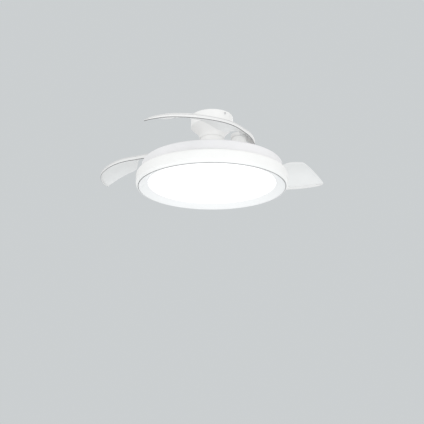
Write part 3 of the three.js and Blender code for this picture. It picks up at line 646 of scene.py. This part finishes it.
def along_stations(t):
    """The station at t from 0 to 1, on a smooth curve through all of them."""
    place = t * (len(STATIONS) - 1)
    k = min(int(place), len(STATIONS) - 2)
    u = place - k
    p0, p1 = STATIONS[max(k - 1, 0)], STATIONS[k]
    p2, p3 = STATIONS[k + 1], STATIONS[min(k + 2, len(STATIONS) - 1)]
    return 0.5 * (2 * p1 + (p2 - p0) * u + (2 * p0 - 5 * p1 + 4 * p2 - p3) * u ** 2
                  + (3 * p1 - p0 - 3 * p2 + p3) * u ** 3)


def smoothstep(value, low, high):
    """0 below low, 1 above high, smooth between."""
    s = min(max((value - low) / (high - low), 0), 1)
    return s * s * (3 - 2 * s)


def blade_section(t, sizes):
    """Points and painted shade marks across a blade: a thin panel with a lip at its outer edge."""
    outer_az, outer_r, inner_az, inner_r, outer_z, inner_z, lip = along_stations(t)
    pivot = sizes.pivot_radius / MM
    outer = np.array([outer_r * math.cos(math.radians(outer_az)) - pivot,
                      outer_r * math.sin(math.radians(outer_az)), outer_z + RIM_Z / MM])
    inner = np.array([inner_r * math.cos(math.radians(inner_az)) - pivot,
                      inner_r * math.sin(math.radians(inner_az)), inner_z + RIM_Z / MM])
    across = inner - outer
    span = math.hypot(across[0], across[1])
    thick = sizes.blade_thickness / MM
    camber = BLADE_CAMBER * smoothstep(t, 0.15, 0.5)
    wall = sizes.lip_wall / MM

    def at(distance, dz):
        w = distance / span
        point = outer + across * w
        point[2] += camber * 4 * w * (1 - w) + dz
        return point

    section = [(at(0, -1.7), 0), (at(0.25, -0.85), 0), (at(0.85, -0.25), 0)]
    section += [(at(1.7 + (span - 3.2) * (i / ACROSS) ** 1.25, 0), 0) for i in range(ACROSS + 1)]
    section += [(at(span - 0.5, -0.35), 0), (at(span, -thick / 2), 0),
                (at(span - 0.5, -thick + 0.35), 0)]
    under = span - 1.5 - wall - 2.2
    section += [(at(wall + 2.2 + under * (1 - i / ACROSS) ** 1.25, -thick), 0)
                for i in range(ACROSS + 1)]
    # The second numbers are painted shade: dark lines along the lip's lower edge and near the top
    # of its outer face.
    section += [(at(wall + 2.0, -thick + 0.4), 0), (at(wall + 1.0, -thick + 0.5), 0),
                (at(wall + 0.2, -thick + 0.4), 0), (at(wall, -thick - 0.3), 0),
                (at(wall, -lip * 0.6), 0), (at(wall, -lip + 0.7), 0),
                (at(wall - 0.25, -lip + 0.2), 0), (at(wall - 0.8, -lip), 0.1),
                (at(1.0, -lip), 0.4), (at(0.6, -lip + 0.2), 1), (at(0.4, -lip + 0.6), 1),
                (at(0.4, -lip + 2.0), 1), (at(0, -lip + 2.2), 0), (at(0, -lip * 0.5), 0),
                (at(0, -3.0), 0), (at(0.15, -2.8), 0.5), (at(0.15, -1.9), 0.5)]
    return section


def blade_mesh(name, index, sizes):
    """One blade in its place: the lofted panel and the disc at its root."""
    bm = bmesh.new()
    # Painted shade marks, one for each vertex.
    seam = bm.verts.layers.float.new("seam")
    count = (len(STATIONS) - 1) * STEPS_PER_STATION
    rows = []
    for step in range(count + 1):
        row = []
        for point, mark in blade_section(step / count, sizes):
            vertex = bm.verts.new(Vector(point) * MM)
            vertex[seam] = mark
            row.append(vertex)
        rows.append(row)
    size = len(rows[0])
    for here, there in zip(rows, rows[1:]):
        for k in range(size):
            n = (k + 1) % size
            bm.faces.new((here[k], there[k], there[n], here[n]))
    for row in (rows[0], rows[-1]):
        bm.faces.new(row)
    bmesh.ops.recalc_face_normals(bm, faces=bm.faces)
    disc = bmesh.new()
    top, bottom = BOSS_TOP / MM, HUB_HIGH.z / MM + GAP
    radius = sizes.boss_radius / MM
    section = rounded([(6, bottom, 0), (radius, bottom, 1.2), (radius, top, 2.4), (6, top, 0)])
    turned(disc, section, 96)
    bmesh.ops.recalc_face_normals(disc, faces=disc.faces)
    disc_mesh = bpy.data.meshes.new("disc")
    disc.to_mesh(disc_mesh)
    disc.free()
    bm.from_mesh(disc_mesh)
    bpy.data.meshes.remove(disc_mesh)
    bmesh.ops.transform(bm, matrix=station_matrix(index, sizes, True), verts=bm.verts)
    return finish_mesh(bm, name, 38, recalc=False)


def on_circle(radius, azimuth):
    """A point on a level circle about the axis, at an azimuth in degrees."""
    angle = math.radians(azimuth)
    return Vector((radius * math.cos(angle), radius * math.sin(angle), 0))


def station_matrix(index, sizes, swinging):
    """From a folded blade's own frame to its place on the fan."""
    azimuth = PIVOT_AZIMUTH + 120 * index
    turn = azimuth + (PHOTO_SWING[index] if swinging else 0)
    centre = on_circle(sizes.pivot_radius, azimuth)
    return Matrix.Translation(centre) @ Matrix.Rotation(math.radians(turn), 4, "Z")


# ---------------------------------------------------------------- operators
class FAN_OT_canopy(bpy.types.Operator):
    """Cup-shaped canopy against the ceiling"""
    bl_idname = "fan.canopy"
    bl_label = "Canopy"

    def execute(self, context):
        sizes = context.scene.fan_sizes
        radius, straight = sizes.canopy_radius / MM, sizes.canopy_straight / MM
        low, wall = CANOPY_LOW.z / MM, CANOPY_SHEET
        steps = 26
        cup = [(CANOPY_NECK_R + (radius - CANOPY_NECK_R) * (1 - k / steps) ** 1.9,
                -straight + (low + straight) * (k / steps) ** 0.92) for k in range(steps + 1)]
        outside = [(radius, -3.3), (radius - 0.25, -1.7), (radius - 0.9, -0.7),
                   (radius - 1.2, -0.3)]
        inside = [(radius - wall, -0.35)]
        inside += [(r - wall, z + (0 if k in (0, steps) else 0.9)) for k, (r, z) in enumerate(cup)]
        section = cup[::-1] + outside + inside
        mesh = turned_mesh("canopy_cup", section, 160)
        add_piece("canopy_cup", mesh, FIXED_BODY, ["canopy"], "white_paint", "canopy")
        return {"FINISHED"}


class FAN_OT_neck(bpy.types.Operator):
    """Neck cover between the canopy and the turning tier"""
    bl_idname = "fan.neck"
    bl_label = "Neck cover"

    def execute(self, context):
        radius = context.scene.fan_sizes.neck_radius / MM
        low, high = NECK_LOW.z / MM, NECK_HIGH.z / MM
        inner, hole = radius - SHEET, SHAFT_R + GAP
        section = rounded([
            (inner, low, 0.4), (radius, low, 0.6), (radius, high, 0.6), (inner, high, 0.4),
            (inner, NECK_WEB_TOP, 0.4), (hole, NECK_WEB_TOP, 0), (hole, NECK_WEB_TOP - SHEET, 0),
            (inner, NECK_WEB_TOP - SHEET, 0.4)])
        mesh = turned_mesh("neck_sleeve", section, 128)
        add_piece("neck_sleeve", mesh, FIXED_BODY, ["neck_cover"], "white_paint", "coat")
        return {"FINISHED"}


class FAN_OT_tier(bpy.types.Operator):
    """Turning tier that carries the blades, with a pressed ring in its top plate"""
    bl_idname = "fan.tier"
    bl_label = "Turning tier"

    def execute(self, context):
        sizes = context.scene.fan_sizes
        radius, edge = sizes.tier_radius / MM, sizes.tier_edge / MM
        low, high = TIER_LOW.z / MM, TIER_HIGH.z / MM
        inner, under = radius - SHEET, high - TIER_PLATE
        pressed_ring = [(112, high, 1), (109, high - 0.8, 1), (103, high - 0.8, 1), (100, high, 1)]
        section = rounded([
            (inner, low, 0.4), (radius, low, 0.7), (radius, high, edge), *pressed_ring,
            (TIER_HOLE_R, high, 0.5), (TIER_HOLE_R, under, 0.3), (inner - 3, under, 2),
            (inner, under - 3, 2)])
        mesh = turned_mesh("turning_tier", section, 224)
        add_piece("turning_tier", mesh, ROTOR_BODY, ["blade_carrier"], "tier_paint", "tier")
        return {"FINISHED"}


class FAN_OT_blades(bpy.types.Operator):
    """Three curved blades, each with a lip and a disc at its root"""
    bl_idname = "fan.blades"
    bl_label = "Blades"

    def execute(self, context):
        sizes = context.scene.fan_sizes
        for index, body in enumerate(BLADE_BODIES):
            mark = index + 1
            mesh = blade_mesh(f"blade_shell_{mark}", index, sizes)
            add_piece(f"blade_shell_{mark}", mesh, body, [f"blade_{mark}"], "blade_white", "blade")
        return {"FINISHED"}


class FAN_OT_hubs(bpy.types.Operator):
    """Hub cups under the blades, and the pins that they turn on"""
    bl_idname = "fan.hubs"
    bl_label = "Hubs and pivot pins"

    def execute(self, context):
        sizes = context.scene.fan_sizes
        radius = sizes.hub_radius / MM
        low, high = HUB_LOW.z / MM, HUB_HIGH.z / MM
        room, bore = high - 8, BUSH_R + GAP
        cup = rounded([
            (bore, low, 0.3), (HUB_NECK_R, low, 0.4), (HUB_NECK_R, room, 1),
            (HUB_ROOM_R, room, 1), (HUB_ROOM_R, low, 0.4), (radius, low, 0.5),
            (radius, high, 0.6), (bore, high, 0.3)])
        collar = rounded([(radius - 1.5, low, 0), (HUB_FLANGE_R, low, 0.8),
                          (HUB_FLANGE_R, low + 4, 1.2), (radius - 1.5, low + 4, 0)])
        top = BOSS_TOP / MM
        pin = [(0, top - 40), (PIN_R, top - 40), (PIN_R, top + GAP), (PIN_HEAD_R, top + GAP),
               (PIN_HEAD_R, top + 2.4), (PIN_HEAD_R - 0.4, top + 3.2),
               (PIN_HEAD_R - 1.6, top + 3.8), (4, top + PIN_HEAD_RISE), (3.4, top + 4.1),
               (3.1, top + 2.2), (0, top + 2)]
        for index, body in enumerate(BLADE_BODIES):
            mark = index + 1
            place = station_matrix(index, sizes, True)
            bm = bmesh.new()
            turned(bm, cup, 96)
            sector(bm, collar, 180 + STOP_HALF, 540 - OPEN_SWING - STOP_HALF, 72)
            mesh = finish_mesh(bm, f"hub_cup_{mark}")
            mesh.transform(place)
            add_piece(f"hub_cup_{mark}", mesh, body, [f"blade_hub_{mark}"], "white_paint", "hub")
            pin_mesh = turned_mesh(f"pivot_bolt_{mark}", pin, 64)
            pin_mesh.transform(station_matrix(index, sizes, False))
            add_piece(f"pivot_bolt_{mark}", pin_mesh, ROTOR_BODY, [f"pivot_pin_{mark}"], "steel",
                      "turned_steel")
        return {"FINISHED"}


class FAN_OT_drum(bpy.types.Operator):
    """Lamp drum with rounded edges"""
    bl_idname = "fan.drum"
    bl_label = "Lamp drum"

    def execute(self, context):
        sizes = context.scene.fan_sizes
        radius, edge = sizes.drum_radius / MM, sizes.drum_edge / MM
        low, high = DRUM_LOW.z / MM, DRUM_HIGH.z / MM
        inner, under, hole = radius - SHEET, high - SHEET, SHAFT_LOW_R + GAP
        section = rounded([
            (radius - 8, low, 0.3), (radius - 4.6, low, 2.2), (radius, low + 8.4, 9),
            (radius, high, edge), (hole, high, 0), (hole, under, 0), (inner, under, edge - 1),
            (inner, low + 8.4, 8), (radius - 7, low + 1.6, 1)], 8)
        # Painted shade on the inner side of the drum's lower lip, in the gap round the trim.
        mesh = turned_mesh("lamp_drum", section, 256,
                           lambda r, z: radius - 8.3 < r < radius - 6.5 and z < low + 8)
        add_piece("lamp_drum", mesh, FIXED_BODY, ["light_pan"], "white_paint", "coat")
        return {"FINISHED"}


class FAN_OT_lamp(bpy.types.Operator):
    """Bevelled trim ring and the lit disc inside it"""
    bl_idname = "fan.lamp"
    bl_label = "Trim ring and lit disc"

    def execute(self, context):
        sizes = context.scene.fan_sizes
        lit = sizes.lit_radius / MM
        rim = RIM_Z / MM
        flat = rim + sizes.lit_rise / MM
        ring = rounded([
            (lit, flat, 0.5), (TRIM_R - 4.4, rim + 0.8, 1.5), (TRIM_R - 2, rim, 1.2),
            (TRIM_R, rim + 0.5, 0.5), (TRIM_R, rim + 1.6, 0.3), (TRIM_R - 0.8, rim + 1.6, 0.2),
            (TRIM_R - 0.8, rim + 24, 0.4), (TRIM_R - 3, rim + 24, 0.4), (TRIM_R - 3, rim + 6, 1),
            (lit + 10, flat + 2, 1), (lit, flat + 2, 0.4)], 4)
        # Painted shade on the trim's outer wall, up inside the gap under the drum's lip.
        mesh = turned_mesh("trim_bevel", ring, 256, lambda r, z: r > TRIM_R - 1 and z > rim + 1)
        add_piece("trim_bevel", mesh, FIXED_BODY, ["trim_ring"], "white_paint", "trim")
        edge = lit - GAP
        top = flat + 2.3
        crown = [(edge * k / 24, flat - 2.4 + 2.6 * (k / 24) ** 2.4) for k in range(24)]
        disc = crown + [(edge - 1.2, flat + 0.35), (edge - 0.3, flat + 0.8), (edge, flat + 1.5),
                        (edge, top), (lit + 8, top), (lit + 8, top + 2), (180, top + 2),
                        (0, top + 0.5)]
        mesh = turned_mesh("lit_disc", disc, 256)
        add_piece("lit_disc", mesh, FIXED_BODY, ["diffuser"], "opal", "opal")
        return {"FINISHED"}


class FAN_OT_screws(bpy.types.Operator):
    """Crossed screws of the canopy, the tier and the blades"""
    bl_idname = "fan.screws"
    bl_label = "Screws"

    def execute(self, context):
        sizes = context.scene.fan_sizes
        tree = screw_tree()

        def screws(name, body, nodes, slot, finish, points, axes, length_mm):
            values = {"Head Radius": sizes.screw_head, "Head Height": SCREW_HEAD_HEIGHT * MM,
                      "Shank Length": length_mm * MM, "Material": FINISH[finish]}
            mesh = grown_mesh(name, tree, points, values, axes)
            add_piece(name, mesh, body, nodes, slot, finish)

        wall = (sizes.canopy_radius / MM + 0.1) * MM
        side = [on_circle(1, azimuth) for azimuth in CANOPY_SCREW_AZIMUTHS]
        places = [d * wall + Vector((0, 0, CANOPY_SCREW_Z * MM)) for d in side]
        screws("canopy_screws", FIXED_BODY, ["canopy_screw_1", "canopy_screw_2"], "steel",
               "bright_zinc", places, side, 8)
        up = Vector((0, 0, 1))
        lift = 0.1 * MM
        circle = [on_circle(TIER_SCREW_CIRCLE * MM, azimuth) + up * (TIER_HIGH.z + lift)
                  for azimuth in TIER_SCREW_AZIMUTHS]
        screws("tier_screws", ROTOR_BODY, [f"carrier_screw_{k}" for k in (1, 2, 3)], "steel",
               "steel", circle, [up] * 3, 5)
        for index, body in enumerate(BLADE_BODIES):
            mark = index + 1
            place = station_matrix(index, sizes, True)
            points = [place @ Vector((x * MM, y * MM, BOSS_TOP + lift)) for x, y in BLADE_SCREWS]
            screws(f"root_screws_{mark}", body, [f"blade_screw_{mark}_1", f"blade_screw_{mark}_2"],
                   "steel", "steel", points, [up] * 2, 14)
        return {"FINISHED"}


class FAN_OT_springs(bpy.types.Operator):
    """Return springs inside the hubs"""
    bl_idname = "fan.springs"
    bl_label = "Return springs"

    def execute(self, context):
        sizes = context.scene.fan_sizes
        low, high = HUB_LOW.z - 0.6 * MM, HUB_HIGH.z - 9.8 * MM
        centres = [station_matrix(index, sizes, False).translation + Vector((0, 0, low))
                   for index in range(len(BLADE_BODIES))]
        values = {"Coil Radius": SPRING_R * MM, "Wire Radius": sizes.spring_wire,
                  "Height": high - low, "Turns": float(sizes.spring_turns),
                  "Material": FINISH["turned_steel"]}
        mesh = grown_mesh("return_coils", spring_tree(), centres, values)
        add_piece("return_coils", mesh, ROTOR_BODY, [f"return_spring_{k}" for k in (1, 2, 3)],
                  "steel", "turned_steel")
        return {"FINISHED"}


class FAN_OT_emitters(bpy.types.Operator):
    """Lamp board with its rings of emitters"""
    bl_idname = "fan.emitters"
    bl_label = "Lamp board"

    def execute(self, context):
        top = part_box("led_board")[1].z
        high = top / MM
        low = high - BOARD_THICK
        board = turned_mesh("lamp_board", [(BOARD_INSIDE, low), (BOARD_OUTSIDE, low),
                                           (BOARD_OUTSIDE, high), (BOARD_INSIDE, high)], 128)
        add_piece("lamp_board", board, FIXED_BODY, ["led_board"], "board", "board")
        level = Vector((0, 0, top - 2.1 * MM))
        points = [on_circle(radius * MM, 360 * k / count) + level
                  for radius, count in EMITTER_RINGS for k in range(count)]
        values = {"Side": EMITTER_SIDE * MM, "Height": EMITTER_HEIGHT * MM,
                  "Material": FINISH["emitter"]}
        mesh = grown_mesh("board_emitters", emitter_tree(), points, values)
        add_piece("board_emitters", mesh, FIXED_BODY, [], "board", "emitter")
        return {"FINISHED"}


KEPT_NODES = {
    "ceiling_bracket": "steel", "terminal_block": "case", "receiver": "case", "downrod": "coat",
    "rod_pin": "turned_steel", "coupling": "dark_steel", "coupling_pin": "turned_steel",
    "shaft_pin": "turned_steel", "cover_clip": "steel", "motor_shaft": "turned_steel",
    "stator_core": "laminated", "winding_upper": "copper", "winding_lower": "copper",
    "bearing_upper": "turned_steel", "bearing_lower": "turned_steel", "pan_nut": "steel",
    "led_tray": "board", "led_driver": "case", "rotor_top_shell": "steel",
    "rotor_bottom_shell": "steel", "magnet_ring": "magnet",
    "hub_bush_1": "bronze", "hub_bush_2": "bronze", "hub_bush_3": "bronze",
    "stop_pin_1": "rubber", "stop_pin_2": "rubber", "stop_pin_3": "rubber",
}


class FAN_OT_inner_parts(bpy.types.Operator):
    """Finishes for the solids that stay as they are"""
    bl_idname = "fan.inner_parts"
    bl_label = "Inner parts"

    def execute(self, context):
        for node, finish in KEPT_NODES.items():
            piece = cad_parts[node]
            piece.data.materials.clear()
            piece.data.materials.append(FINISH[finish])
        return {"FINISHED"}


class FAN_OT_stage(bpy.types.Operator):
    """Floor, soft lights and the camera"""
    bl_idname = "fan.stage"
    bl_label = "Stage"

    def execute(self, context):
        scene = context.scene
        tone = scene.fan_colours.floor
        half, level = FLOOR_HALF, FLOOR_Z
        mesh = bpy.data.meshes.new("floor")
        mesh.from_pydata([(-half, -half, level), (half, -half, level), (half, half, level),
                          (-half, half, level)], [], [(0, 1, 2, 3)])
        mesh.materials.append(coated("plain_floor", shade(tone, 1.13), 0.8, 0.004, 0.02, 40))
        floor = bpy.data.objects.new("floor", mesh)
        scene.collection.objects.link(floor)

        world = bpy.data.worlds.new("studio")
        world.use_nodes = True
        scene.world = world
        tree = world.node_tree
        light = tree.nodes["Background"]
        light.inputs["Color"].default_value = (1, 1, 1, 1)
        light.inputs["Strength"].default_value = SKY_STRENGTH
        seen = tree.nodes.new("ShaderNodeBackground")
        seen.inputs["Color"].default_value = (*tone, 1)
        seen.inputs["Strength"].default_value = 1.0
        ray = tree.nodes.new("ShaderNodeLightPath")
        pick = tree.nodes.new("ShaderNodeMixShader")
        tree.links.new(ray.outputs["Is Camera Ray"], pick.inputs[0])
        tree.links.new(light.outputs[0], pick.inputs[1])
        tree.links.new(seen.outputs[0], pick.inputs[2])
        tree.links.new(pick.outputs[0], tree.nodes["World Output"].inputs["Surface"])

        for name, place, side, power in LAMPS:
            lamp = bpy.data.lights.new(name, "AREA")
            lamp.shape = "SQUARE"
            lamp.size = side
            lamp.energy = power
            lamp_object = bpy.data.objects.new(name, lamp)
            scene.collection.objects.link(lamp_object)
            lamp_object.location = place
            aim = Vector(FAN_MIDDLE) - Vector(place)
            lamp_object.rotation_euler = aim.to_track_quat("-Z", "Y").to_euler()
            lamp_object.visible_camera = False

        lens = bpy.data.cameras.new("view")
        lens.sensor_width = 36
        lens.lens = CAMERA_LENS
        lens.clip_end = 60
        camera = bpy.data.objects.new("view", lens)
        camera.location = CAMERA_PLACE
        camera.rotation_euler = (CAMERA_TILT, 0, 0)
        scene.collection.objects.link(camera)
        scene.camera = camera
        scene.view_settings.view_transform = "Standard"
        return {"FINISHED"}


class FAN_PT_panel(bpy.types.Panel):
    """Buttons and sizes in the sidebar"""
    bl_idname = "FAN_PT_panel"
    bl_label = "Folding-blade ceiling fan"
    bl_space_type = "VIEW_3D"
    bl_region_type = "UI"
    bl_category = "Fan"

    def draw(self, context):
        for operator in OPERATORS:
            self.layout.operator(operator.bl_idname)
        for group in (context.scene.fan_sizes, context.scene.fan_colours):
            box = self.layout.box()
            for name in group.__annotations__:
                box.prop(group, name)


OPERATORS = [
    FAN_OT_inner_parts, FAN_OT_canopy, FAN_OT_neck, FAN_OT_tier, FAN_OT_blades, FAN_OT_hubs,
    FAN_OT_drum, FAN_OT_lamp, FAN_OT_screws, FAN_OT_springs, FAN_OT_emitters, FAN_OT_stage,
]
CLASSES = [FanSizes, FanColours, *OPERATORS, FAN_PT_panel]


def register():
    """Registers the classes and their settings."""
    for item in CLASSES:
        bpy.utils.register_class(item)
    bpy.types.Scene.fan_sizes = PointerProperty(type=FanSizes)
    bpy.types.Scene.fan_colours = PointerProperty(type=FanColours)


def unregister():
    """Removes what register added."""
    del bpy.types.Scene.fan_colours
    del bpy.types.Scene.fan_sizes
    for item in reversed(CLASSES):
        bpy.utils.unregister_class(item)


def main():
    register()
    make_finishes(bpy.context.scene.fan_sizes, bpy.context.scene.fan_colours)
    for operator in OPERATORS:
        family, name = operator.bl_idname.split(".")
        getattr(getattr(bpy.ops, family), name)()


if __name__ == "__main__":
    main()
